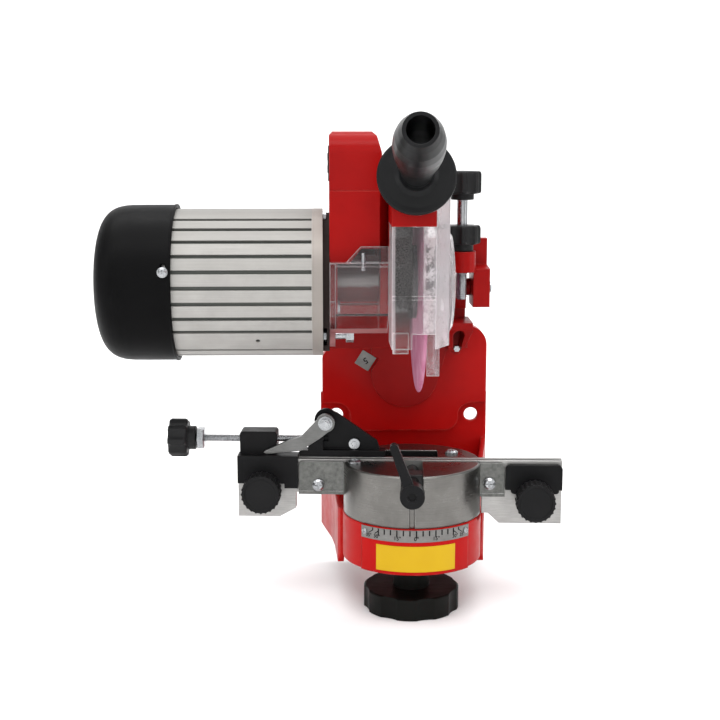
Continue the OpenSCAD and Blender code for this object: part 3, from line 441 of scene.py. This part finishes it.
M = {
    "red": paint_red(a=col(142, 12, 11), b=col(127, 8, 8)),
    "red_guard": paint_red("red_enamel_guard", a=col(144, 11, 10), b=col(128, 8, 7), darken_inside=True),
    # a lighter copy of the red enamel for the back plate: painted light that offsets the shade the head casts on it
    "red_brightened": paint_red("red_enamel_brightened", 0.0022, col(172, 13, 11), col(152, 9, 8)),
    "black": plastic("black_moulding", (0.0085, 0.0085, 0.009), (0.006, 0.006, 0.0065), 0.36, 0.52, edge_col=(0.03, 0.03, 0.03)),
    "cap": plastic("black_cap", (0.0032, 0.0032, 0.0034), (0.0022, 0.0022, 0.0024), 0.4, 0.5, grain=1500, depth=0.00004, strength=0.2, radius=0.0015, coat=0.0, edge_col=(0.01, 0.01, 0.01), spec=0.05),
    "grip": plastic("black_grip", (0.0074, 0.0076, 0.0082), (0.005, 0.0052, 0.0056), 0.28, 0.4, grain=1800, strength=0.25, radius=0.001, coat=0.1, coat_rough=0.2, edge_col=(0.04, 0.04, 0.04)),
    "knob": plastic("black_knob", (0.0195, 0.0195, 0.020), (0.0138, 0.0138, 0.0143), 0.34, 0.48, grain=2400, radius=0.0009, edge_col=(0.028, 0.028, 0.028)),
    "thumb": plastic("black_thumb_knob", (0.0098, 0.0098, 0.0102), (0.0068, 0.0068, 0.0072), 0.34, 0.48, grain=2400, radius=0.0009, edge_col=(0.028, 0.028, 0.028)),
    "base_knob": plastic("dark_knob", (0.0062, 0.0064, 0.0056), (0.0042, 0.0044, 0.0038), 0.36, 0.52, grain=1600, radius=0.0012, edge_col=(0.035, 0.035, 0.032)),
    "black_metal": plastic("black_lacquer", (0.0085, 0.0085, 0.009), (0.0055, 0.0055, 0.006), 0.28, 0.42, grain=1300, depth=0.00008, strength=0.4, radius=0.0006, edge_col=(0.07, 0.07, 0.07)),
    "bars": bar_housing("bar_aluminium"),
    "cast": metal("cast_aluminium", (0.42, 0.41, 0.40), (0.34, 0.335, 0.33), 0.38, 0.52, (1, 1, 1), 900, 0.00006, 0.4, 0.0008),
    "tube": arbor_metal("arbor_tube_metal"),
    "zinc": metal("bright_zinc", (0.46, 0.468, 0.475), (0.30, 0.31, 0.325), 0.2, 0.34, (1, 1, 1), 1800, 0.00003, 0.3, 0.0004, patch=120),
    "bright": metal("bright_steel", (0.172, 0.172, 0.168), (0.125, 0.125, 0.122), 0.28, 0.42, (0.08, 1, 1), 1500, 0.00003, 0.4, 0.0004, patch=70, edge_col=(0.7, 0.7, 0.69)),
    "flange": metal("wheel_flange_steel", (0.08, 0.08, 0.08), (0.05, 0.05, 0.05), 0.4, 0.55, (1, 1, 1), 900, 0.00005, 0.4, 0.0005, patch=70),
    "jaw": metal("rolled_steel", (0.40, 0.393, 0.38), (0.315, 0.31, 0.302), 0.34, 0.48, (0.05, 1, 1), 1200, 0.00004, 0.5, 0.0005, patch=50, edge_col=(0.55, 0.55, 0.54)),
    "dial": metal("dial_metal", (0.225, 0.22, 0.212), (0.178, 0.174, 0.167), 0.36, 0.5, (0.2, 0.2, 1), 1600, 0.00002, 0.3, 0.0003, patch=160),
    "dark": metal("dark_steel", (0.10, 0.10, 0.10), (0.06, 0.06, 0.06), 0.42, 0.58, (1, 1, 1), 900, 0.00006, 0.5, 0.0004, patch=90),
    "spring": metal("spring_steel", (0.26, 0.26, 0.27), (0.16, 0.16, 0.17), 0.3, 0.44, (1, 1, 1), 1200, 0.00004, 0.4, 0.0003, patch=150),
    "drum": turned("turned_aluminium", 0.0, -0.102, (0.178, 0.172, 0.162), (0.134, 0.129, 0.121)),
    "galv": galvanised("galvanised_sheet"),
    "clear": clear_plastic("clear_guard", (0.985, 0.97, 0.978), frost=0.2),
    "clear_window": dusty_window("clear_window_dusty"),
    "clear_hub": clear_plastic("clear_hub", (0.985, 0.97, 0.978), 0.03, 0.14, 0.2),
    "clear_shield": clear_plastic("clear_shield", (0.98, 0.955, 0.965), 0.03, 0.12, 0.02, 0.6, lip=0.0845),
    "wheel": abrasive("pink_abrasive"),
    "copper": windings_mat("copper_wire"),
    "ink": plastic("dial_ink", (0.004, 0.004, 0.004), (0.006, 0.006, 0.006), 0.5, 0.65, grain=3000, radius=0.0001, edge_col=(0.01, 0.01, 0.01)),
    "yellow": plastic("yellow_plate", col(196, 158, 14), col(188, 148, 10), 0.34, 0.48, grain=1200, depth=0.00004, strength=0.3, radius=0.0004, coat=0.2, coat_rough=0.25, edge_col=col(120, 96, 20)),
}

LOOK = {
    "base_bracket": "red_brightened", "dial_plate": "dial", "dial_rivets": "zinc", "front_label": "yellow", "tilt_scale": "dial", "tilt_nut": "zinc",
    "column": "red", "tilt_bolt": "zinc", "tilt_lock_screw": "zinc", "hinge_pin": "zinc", "hinge_clips": "dark", "return_spring": "spring",
    "head_casting": "red_guard", "switch_cover": "red", "cover_screws": "zinc", "switch_frame": "black", "rocker_switch": "cap", "cord_gland": "black",
    "motor_flange": "bars", "motor_housing": "bars", "rear_shield": "cast", "end_cap": "cap", "cap_screws": "zinc", "flange_screws": "zinc",
    "stator_core": "dark", "windings": "copper", "motor_bearings": "bright", "rotor_core": "dark", "rotor_shaft": "bright", "cooling_fan": "black",
    "wheel_flanges": "flange", "grinding_wheel": "wheel", "spindle_nut": "zinc", "arbor_tube": "tube", "wheel_guard": "red_guard", "front_window": "clear_window",
    "hub_cover": "clear_hub", "guard_flap": "clear", "side_shield": "clear_shield", "shield_bolt": "zinc", "handle_grip": "grip", "handle_stud": "zinc",
    "depth_rod": "zinc", "depth_lock_knob": "knob", "drum": "drum", "drum_screws": "zinc", "rear_jaw": "jaw", "front_jaw": "jaw", "jaw_brackets": "galv",
    "bracket_screws": "zinc", "clamp_nut": "dark", "clamp_lever": "black_metal", "rail_covers": "black", "stop_screw": "zinc", "stop_slide": "black_metal",
    "slide_bolts": "zinc", "stop_pawl": "bright", "left_thumb_knob": "thumb", "right_thumb_knob": "thumb", "base_lock_knob": "base_knob",
}
for name, look in LOOK.items():
    o = NODES[name]
    o.data.materials.clear()
    o.data.materials.append(M[look])


# ---------------------------------------------------------------- mesh helpers
def mesh_object(name, verts, faces, mat, smooth=True, body=None, slot=None, replaces=None, sharp=None):
    me = bpy.data.meshes.new(name)
    me.from_pydata([tuple(v) for v in verts], [], faces)
    me.validate()
    bm = bmesh.new()
    bm.from_mesh(me)
    bmesh.ops.remove_doubles(bm, verts=bm.verts, dist=1e-7)
    bmesh.ops.recalc_face_normals(bm, faces=bm.faces)
    if smooth:
        for f in bm.faces:
            f.smooth = True
        lim = math.radians(sharp if sharp else 40)
        for e in bm.edges:
            if len(e.link_faces) == 2 and e.calc_face_angle(0) > lim:
                e.smooth = False
    bm.to_mesh(me)
    bm.free()
    o = bpy.data.objects.new(name, me)
    bpy.context.scene.collection.objects.link(o)
    o.data.materials.append(mat)
    if body:
        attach(o, body)
    if replaces:
        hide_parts(*replaces)
    return o


def lathe(profile, n=64, at=Vector((0, 0, 0)), axis="Z", outline=None):
    """Closed solid of revolution of (radius, height) points in mm; outline(angle, radius) may shape the radius."""
    verts, faces = [], []
    rows = []
    for r, h in profile:
        if r < 1e-6:
            rows.append([len(verts)])
            verts.append((0, 0, h))
        else:
            row = []
            for k in range(n):
                a = 2 * math.pi * k / n
                rr = outline(a, r) if outline else r
                row.append(len(verts))
                verts.append((rr * math.cos(a), rr * math.sin(a), h))
            rows.append(row)
    for p, q in zip(rows, rows[1:]):
        if len(p) == 1 and len(q) == 1:
            continue
        if len(p) == 1:
            for k in range(n):
                faces.append((p[0], q[k], q[(k + 1) % n]))
        elif len(q) == 1:
            for k in range(n):
                faces.append((p[k], q[0], p[(k + 1) % n]))
        else:
            for k in range(n):
                faces.append((p[k], q[k], q[(k + 1) % n], p[(k + 1) % n]))
    out = []
    for x, y, z in verts:
        if axis == "Z":
            v = (x, y, z)
        elif axis == "X":
            v = (z, x, y)
        elif axis == "-X":
            v = (-z, x, -y)
        elif axis == "-Y":
            v = (x, -z, y)
        else:
            v = (x, z, -y)
        out.append(Vector((v[0] / 1000, v[1] / 1000, v[2] / 1000)) + at)
    return out, faces


def joined(parts):
    verts, faces = [], []
    for v, f in parts:
        k = len(verts)
        verts += list(v)
        faces += [tuple(i + k for i in face) for face in f]
    return verts, faces


def thread(r, pitch, depth, z0, z1, n=28, rows=8, at=Vector((0, 0, 0)), axis="Z"):
    """A screw thread as one closed mesh, with short chamfers at both ends."""
    count = int(math.ceil((z1 - z0) / pitch * rows))
    verts, faces = [], []
    for j in range(count + 1):
        z = z0 + (z1 - z0) * j / count
        end = min(z - z0, z1 - z) / pitch
        for k in range(n):
            a = 2 * math.pi * k / n
            ph = (z / pitch - k / n) % 1.0
            tri = abs(ph * 2 - 1)
            cut = min(1.0, max(0.0, (tri - 0.12) / 0.76))
            rr = r - depth * cut - (max(0.0, 1 - end) * depth * 1.1)
            verts.append((rr * math.cos(a), rr * math.sin(a), z))
    for j in range(count):
        for k in range(n):
            a, b = j * n + k, j * n + (k + 1) % n
            faces.append((a, b, b + n, a + n))
    faces.append(tuple(reversed(range(n))))
    faces.append(tuple(range(count * n, count * n + n)))
    out = []
    for x, y, z in verts:
        v = (x, y, z) if axis == "Z" else (z, x, y)
        out.append(Vector((v[0] / 1000, v[1] / 1000, v[2] / 1000)) + at)
    return out, faces


def lobes(n, r_out, cut_r, cut_at, shift=0.5, soft=0.0):
    """Outline of a knob with n round cuts, as a share of its radius."""
    def f(a, r):
        best = 1.0
        for i in range(n):
            t = 2 * math.pi * (i + shift) / n
            d = math.atan2(math.sin(a - t), math.cos(a - t))
            s = cut_at * math.sin(d)
            if abs(s) < cut_r and math.cos(d) > 0:
                hit = cut_at * math.cos(d) - math.sqrt(cut_r * cut_r - s * s)
                best = min(best, hit / r_out)
        return r * best
    return f


def hexagon(r):
    def f(a, rr):
        k = (a % (math.pi / 3)) - math.pi / 6
        return rr * math.cos(math.pi / 6) / math.cos(k)
    return f


def fillet(pts, f, steps=5):
    """Rounds the corners of an open profile of (radius, height) points."""
    out = [pts[0]]
    for a, b, c in zip(pts, pts[1:], pts[2:]):
        va = Vector((a[0] - b[0], a[1] - b[1]))
        vc = Vector((c[0] - b[0], c[1] - b[1]))
        k = min(f, va.length * 0.45, vc.length * 0.45)
        if k < 1e-4 or va.length < 1e-6 or vc.length < 1e-6:
            out.append(b)
            continue
        p0 = Vector(b) + va.normalized() * k
        p1 = Vector(b) + vc.normalized() * k
        for i in range(steps + 1):
            t = i / steps
            q = p0 * (1 - t) ** 2 + Vector(b) * 2 * t * (1 - t) + p1 * t * t
            out.append((q.x, q.y))
    out.append(pts[-1])
    return out


# ---------------------------------------------------------------- depth screw
RX, RY = 37.4, 55.8
knob8 = lobes(8, 13, 5, 13 + 5 * 0.62)
at = P(RX, RY, 0)
rod = joined([thread(4.0, 1.25, 0.62, 101.4, 141.0, at=at), lathe(fillet([(0, 141.0), (3.7, 141.0), (3.7, 176.0), (0, 176.0)], 0.3), 32, at)])
mesh_object("depth_screw_rod", *rod, M["zinc"], body="depth_screw", slot="zinc", replaces=["depth_rod"])
head = lathe(fillet([(0, 174.6), (10.2, 174.6), (13, 175.4), (13, 188.4), (12.2, 190.2), (6, 190.2), (5.2, 189.4), (0, 189.4)], 1.3), 160, at, outline=knob8)
hub = lathe(fillet([(0, 170.6), (8, 170.6), (8, 175.2), (0, 175.2)], 0.6), 48, at)
mesh_object("depth_screw_knob", *joined([head, hub]), M["knob"], body="depth_screw", slot="black_plastic", replaces=["depth_rod"])
head = lathe(fillet([(4.2, 139.8), (10.2, 139.8), (13, 140.6), (13, 151.2), (12.2, 153.0), (4.2, 153.0)], 1.3), 160, at, outline=lambda a, r: knob8(a, r) if r > 8 else r)
hub = lathe(fillet([(4.2, 135.1), (8, 135.1), (8, 140.4), (4.2, 140.4)], 0.6), 48, at)
mesh_object("depth_lock_wheel", *joined([head, hub]), M["knob"], body="depth_lock", slot="black_plastic", replaces=["depth_lock_knob"])

# ---------------------------------------------------------------- stop screw
def turned_vise(part):
    return [VISE @ v for v in part[0]], part[1]


SY, SZ = 4.9, 12.8
at = P(0, SY, SZ)
rod = turned_vise(thread(2.5, 0.8, 0.42, -151.0, -60.0, n=20, at=at, axis="X"))
mesh_object("stop_screw_rod", *rod, M["zinc"], body="stop_spindle", slot="zinc", replaces=["stop_screw"])
nut = turned_vise(lathe(fillet([(2.3, -145.4), (6.7, -145.4), (7.6, -144.8), (7.6, -140.8), (6.7, -140.2), (2.3, -140.2)], 0.3), 96, at, "X", outline=lambda a, r: hexagon(7.6)(a, r) if r > 3 else r))
mesh_object("stop_screw_nut", *nut, M["zinc"], body="stop_spindle", slot="zinc", replaces=["stop_screw"])
knob_s = lobes(8, 13, 5, 13 + 5 * 0.62)
head = lathe(fillet([(0, -163.2), (5.4, -163.2), (6.4, -164.0), (12.0, -164.0), (13, -162.6), (13, -153.0), (12, -151.4), (0, -151.4)], 1.2), 168, at, "X", outline=lambda a, r: knob_s(a, r) if r > 7.8 else r)
hub = lathe(fillet([(0, -152.0), (8, -152.0), (8, -146.4), (7.4, -146.0), (0, -146.0)], 0.6), 48, at, "X")
mesh_object("stop_screw_knob", *turned_vise(joined([head, hub])), M["knob"], body="stop_spindle", slot="black_plastic", replaces=["stop_screw"])

# ---------------------------------------------------------------- dial marks
DR = 48.5


def on_dial(a, z, r=DR):
    """Point on the dial at angle a from the front, clockwise to the right, in mm."""
    return Vector((r * math.sin(a), -r * math.cos(a), z))


def dial_patch(points, lift=0.06):
    """A thin raised mark from a flat outline of (angle in degrees, height) points, as top and walls."""
    n = len(points)
    verts = [P(*on_dial(math.radians(a), z, DR + lift)) for a, z in points] + [P(*on_dial(math.radians(a), z, DR - 0.02)) for a, z in points]
    faces = [tuple(range(n)), tuple(reversed(range(n, 2 * n)))] + [(i, i + n, (i + 1) % n + n, (i + 1) % n) for i in range(n)]
    return verts, faces


marks = []
for k in range(-6, 7):
    a = k * 5.0
    long = 4.6 if k % 3 == 0 else 3.6
    w = 0.52
    marks.append(dial_patch([(a - w, -34.8), (a - w, -34.8 - long), (a + w, -34.8 - long), (a + w, -34.8)]))
for s in (-1, 1):
    # the last marks fan out to their numerals
    for a0, a1 in ((35.0, 38.6), (30.0, 33.2)):
        q = [(s * (a0 - 0.5), -34.8), (s * (a0 - 0.5), -36.6), (s * (a1 - 0.5), -38.6), (s * (a1 + 0.5), -38.6), (s * (a0 + 0.5), -36.4), (s * (a0 + 0.5), -34.8)]
        marks.append(dial_patch(q if s < 0 else q[::-1]))
mesh_object("dial_ticks", *joined(marks), M["ink"], smooth=False, body="bracket", slot="dial_metal")


def numeral(text, a_deg, size, z):
    cu = bpy.data.curves.new("num_" + text.replace(" ", ""), "FONT")
    cu.body = text
    cu.size = size
    cu.extrude = 0.0
    cu.offset = 0.09
    cu.resolution_u = 4
    cu.align_x = "CENTER"
    cu.align_y = "CENTER"
    tmp = bpy.data.objects.new("tmp_text", cu)
    bpy.context.scene.collection.objects.link(tmp)
    bpy.context.view_layer.update()
    me = bpy.data.meshes.new_from_object(tmp.evaluated_get(bpy.context.evaluated_depsgraph_get()))
    bpy.data.objects.remove(tmp)
    pts = [v.co.copy() for v in me.vertices]
    faces = [tuple(p.vertices) for p in me.polygons]
    bpy.data.meshes.remove(me)
    a0 = math.radians(a_deg)
    verts = [P(*on_dial(a0 + p.x / DR, z + p.y, DR + 0.05)) for p in pts]
    return verts, faces


nums = []
for text, a, size in (("35", -38.6, 3.3), ("30", -31.4, 3.3), ("15", -14.6, 3.5), ("0", 0.0, 3.6), ("15", 15.4, 3.5), ("30", 31.8, 3.3), ("35", 38.8, 3.3)):
    nums.append(numeral(text + "°", a, size, -40.3))
me_v, me_f = joined(nums)
mesh_object("dial_numerals", me_v, me_f, M["ink"], smooth=False, body="bracket", slot="dial_metal")

lo_s, hi_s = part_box("tilt_scale")
cu = bpy.data.curves.new("scale_figure", "FONT")
cu.body = "5"
cu.size = 6.4
cu.offset = 0.12
cu.resolution_u = 4
cu.align_x = "CENTER"
cu.align_y = "CENTER"
tmp = bpy.data.objects.new("tmp_text", cu)
bpy.context.scene.collection.objects.link(tmp)
bpy.context.view_layer.update()
me = bpy.data.meshes.new_from_object(tmp.evaluated_get(bpy.context.evaluated_depsgraph_get()))
bpy.data.objects.remove(tmp)
turn = math.radians(-150.0)
ax, az = (lo_s[0] + hi_s[0]) / 2, (lo_s[2] + hi_s[2]) / 2
verts = [Vector((ax + (q.co.x * math.cos(turn) - q.co.y * math.sin(turn)) / 1000, lo_s[1] - 0.00004, az + (q.co.x * math.sin(turn) + q.co.y * math.cos(turn)) / 1000)) for q in me.vertices]
faces = [tuple(q.vertices) for q in me.polygons]
bpy.data.meshes.remove(me)
mesh_object("scale_figure", verts, faces, M["ink"], smooth=False, body="bracket", slot="dial_metal")

# ---------------------------------------------------------------- studio
FLOOR = -0.1118


def sweep():
    """One sheet: floor in front, rounded up into the back wall."""
    prof = [(-3.0, FLOOR)]
    for i in range(0, 25):
        t = i / 24 * math.pi / 2
        prof.append((1.6 + 1.0 * math.sin(t), FLOOR + 1.0 - 1.0 * math.cos(t)))
    prof.append((2.6, 4.0))
    verts, faces = [], []
    for y, z in prof:
        verts += [Vector((-4.0, y, z)), Vector((4.0, y, z))]
    for i in range(len(prof) - 1):
        faces.append((2 * i, 2 * i + 1, 2 * i + 3, 2 * i + 2))
    return verts, faces


g = Graph("studio_paper")
c = g.mix(g.noise(g.coords(), 3.0, 3), (0.9, 0.9, 0.9), (0.88, 0.88, 0.885))
g.principled({"Base Color": c, "Roughness": 0.85, "Normal": g.bump(g.noise(g.coords(), 600, 2), 0.05, 0.0002)})
v, f = sweep()
floor = mesh_object("studio_floor", v, f, g.mat)

world = bpy.data.worlds.new("studio")
bpy.context.scene.world = world
world.use_nodes = True
bg = world.node_tree.nodes["Background"]
bg.inputs[0].default_value = (1.0, 1.0, 1.0, 1.0)
bg.inputs[1].default_value = 0.5


def softbox(name, loc, target, sx, sy, power, color=(1, 1, 1)):
    d = bpy.data.lights.new(name, "AREA")
    d.shape = "RECTANGLE"
    d.size, d.size_y = sx, sy
    d.energy = power
    d.color = color
    o = bpy.data.objects.new(name, d)
    o.location = loc
    o.rotation_euler = (Vector(target) - Vector(loc)).to_track_quat("-Z", "Y").to_euler()
    bpy.context.scene.collection.objects.link(o)
    return o


softbox("key_top", (-0.2, -0.35, 1.5), (0, -0.1, 0.0), 1.8, 1.2, 14)
softbox("left_box", (-1.3, -0.6, 0.55), (-0.05, -0.1, 0.05), 0.45, 1.3, 4)
softbox("right_box", (1.3, -0.4, 0.5), (0.0, -0.1, 0.05), 0.45, 1.3, 4)
softbox("front_fill", (-0.2, -2.3, 0.75), (0, -0.1, 0.03), 2.6, 1.5, 15)
softbox("floor_wash", (0.0, -0.95, 1.5), (0.0, -0.75, -0.11), 2.6, 0.6, 20)
softbox("back_wash", (0.0, 0.9, 2.2), (0.0, 1.9, 0.2), 3.2, 0.8, 60)
